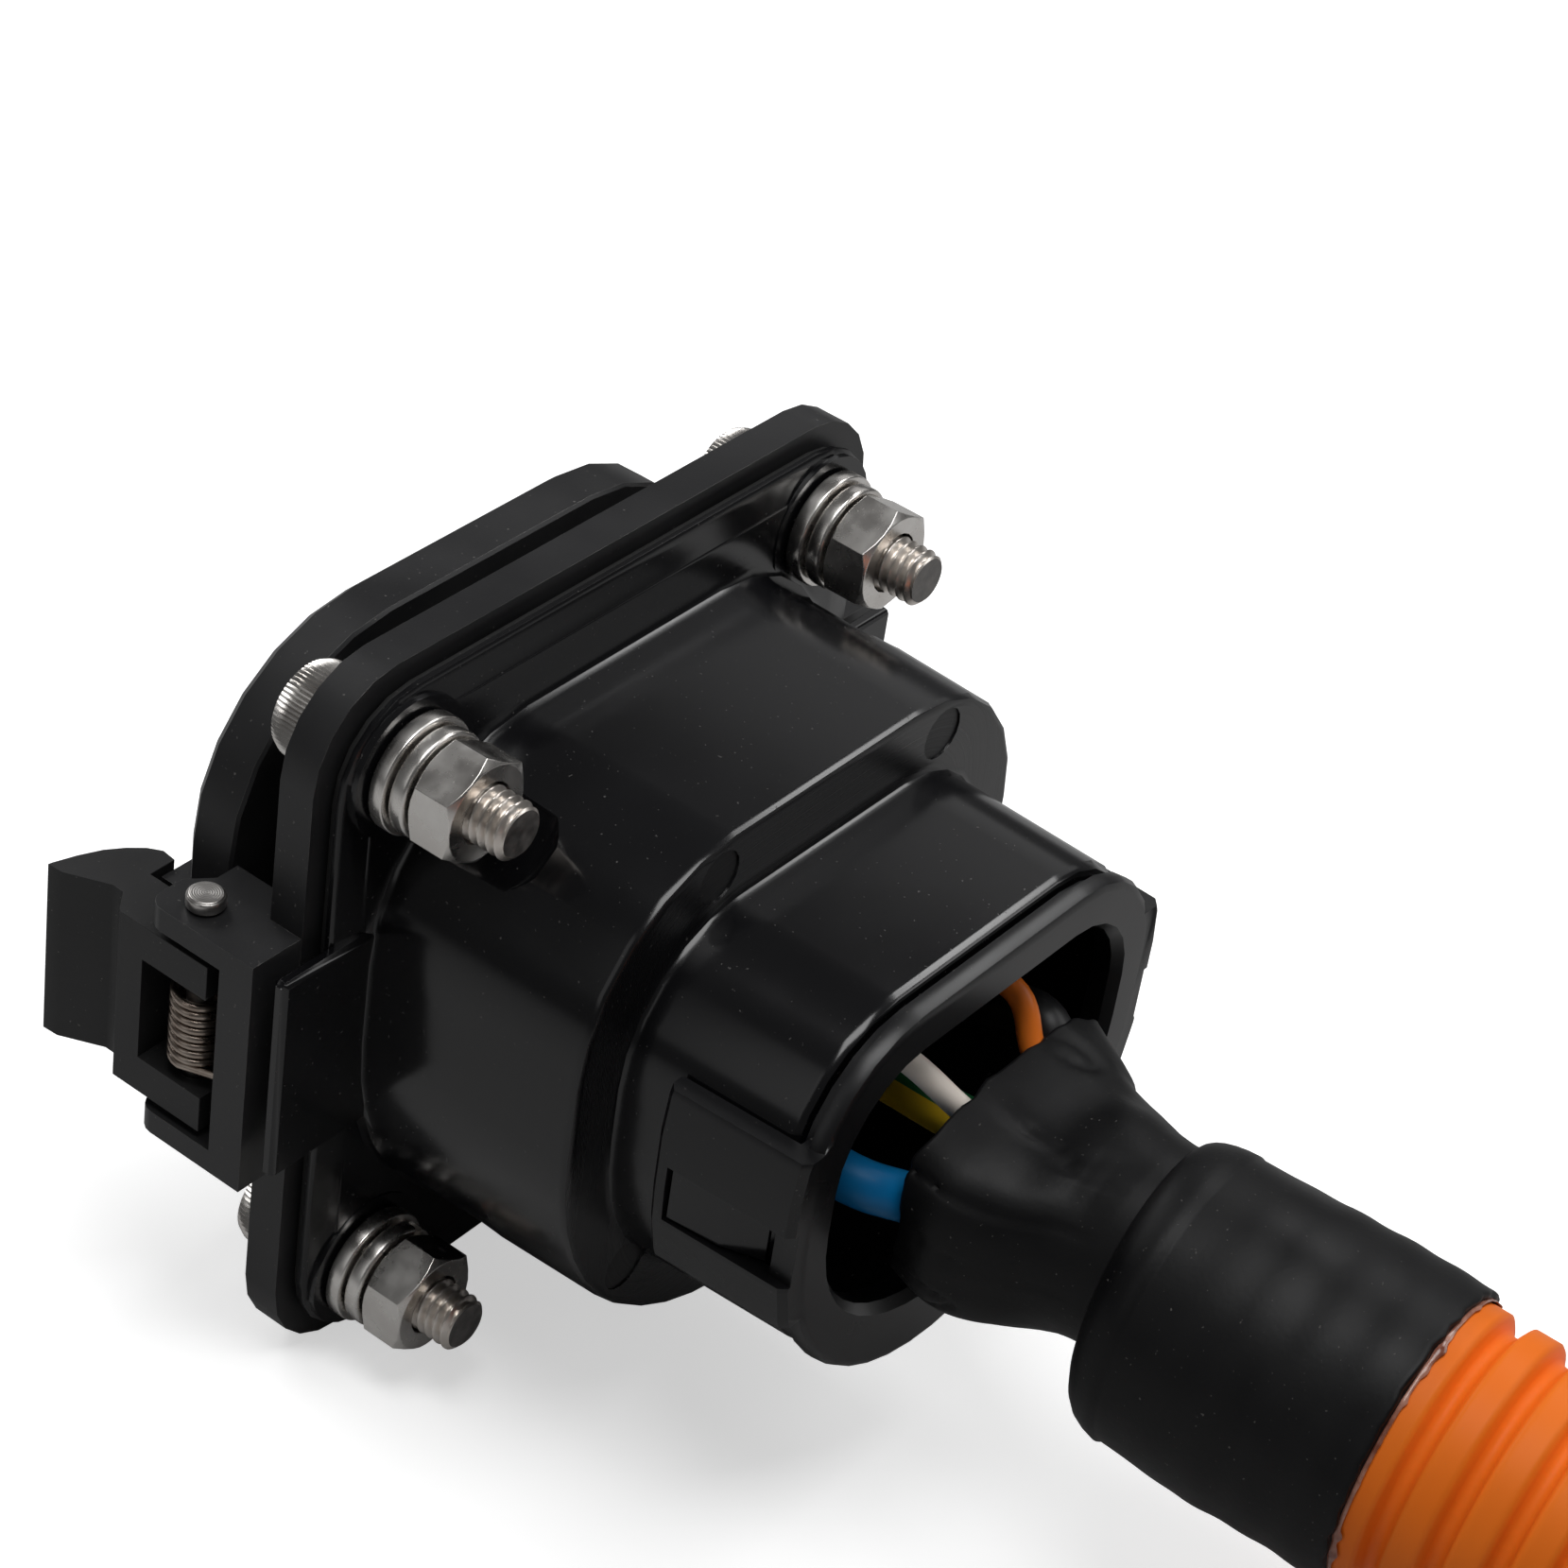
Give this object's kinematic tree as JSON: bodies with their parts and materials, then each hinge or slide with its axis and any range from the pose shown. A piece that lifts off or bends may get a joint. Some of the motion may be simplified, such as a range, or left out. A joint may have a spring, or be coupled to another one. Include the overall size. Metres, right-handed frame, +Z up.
{
  "type": "charge port inlet",
  "caption": "Panel-mount vehicle charging inlet with square flange, latched hinged cover, D-shaped stepped housing and a lead in corrugated conduit.",
  "frame": {"origin": "on the surface that the part stands on, under the middle of its box without the free lead", "axes": "+Y along the inlet axis towards the cable, -Y out of the cover, +X towards the latch, +Z up"},
  "size_m": [0.1849, 0.5465, 0.08],
  "materials": {
    "anodised": "satin",
    "gloss_black": "gloss",
    "matt_black": "matte",
    "rubber": "matte",
    "heat_shrink": "matte",
    "stainless": "satin",
    "silver": "satin",
    "orange_conduit": "satin",
    "blue_wire": "satin",
    "black_wire": "satin",
    "green_wire": "satin",
    "white_wire": "satin",
    "orange_wire": "satin"
  },
  "bodies": {
    "inlet": {"bolt_1": "stainless", "bolt_2": "stainless", "bolt_3": "stainless", "bolt_4": "stainless", "conduit": "orange_conduit", "contact_retainer": "matt_black", "end_boot": "heat_shrink", "flange_gasket": "rubber", "frame_plate": "anodised", "hinge_pin": "stainless", "housing": "gloss_black", "inner_boot": "heat_shrink", "latch_pin": "stainless", "latch_spring": "stainless", "nut_1": "stainless", "nut_2": "stainless", "nut_3": "stainless", "nut_4": "stainless", "outer_sleeve": "heat_shrink", "pin_cp": "silver", "pin_l1": "silver", "pin_n": "silver", "pin_pe": "silver", "pin_pp": "silver", "rear_cap": "gloss_black", "spring_washer_1": "stainless", "spring_washer_2": "stainless", "spring_washer_3": "stainless", "spring_washer_4": "stainless", "tail_black": "black_wire", "tail_blue": "blue_wire", "tail_green_yellow": "green_wire", "tail_orange": "orange_wire", "tail_white": "white_wire", "washer_1": "stainless", "washer_2": "stainless", "washer_3": "stainless", "washer_4": "stainless", "wire_black": "black_wire", "wire_blue": "blue_wire", "wire_green_yellow": "green_wire", "wire_orange": "orange_wire", "wire_white": "white_wire"},
    "cover": {"cover": "anodised", "cover_seal": "rubber"},
    "latch": {"latch_lever": "matt_black"}
  },
  "joints": [
    {"name": "cover_hinge", "type": "hinge", "parent": "inlet", "child": "cover", "pos_m": [-0.0432, -0.04717, 0.04], "axis": [0, 0, -1], "range_deg": [0, 110]},
    {"name": "latch_release", "type": "hinge", "parent": "inlet", "child": "latch", "pos_m": [0.0431, -0.04627, 0.04], "axis": [0, 0, 1], "range_deg": [0, 20], "stiffness_Nm_per_rad": 0.05, "springref_deg": -20.05}
  ]
}
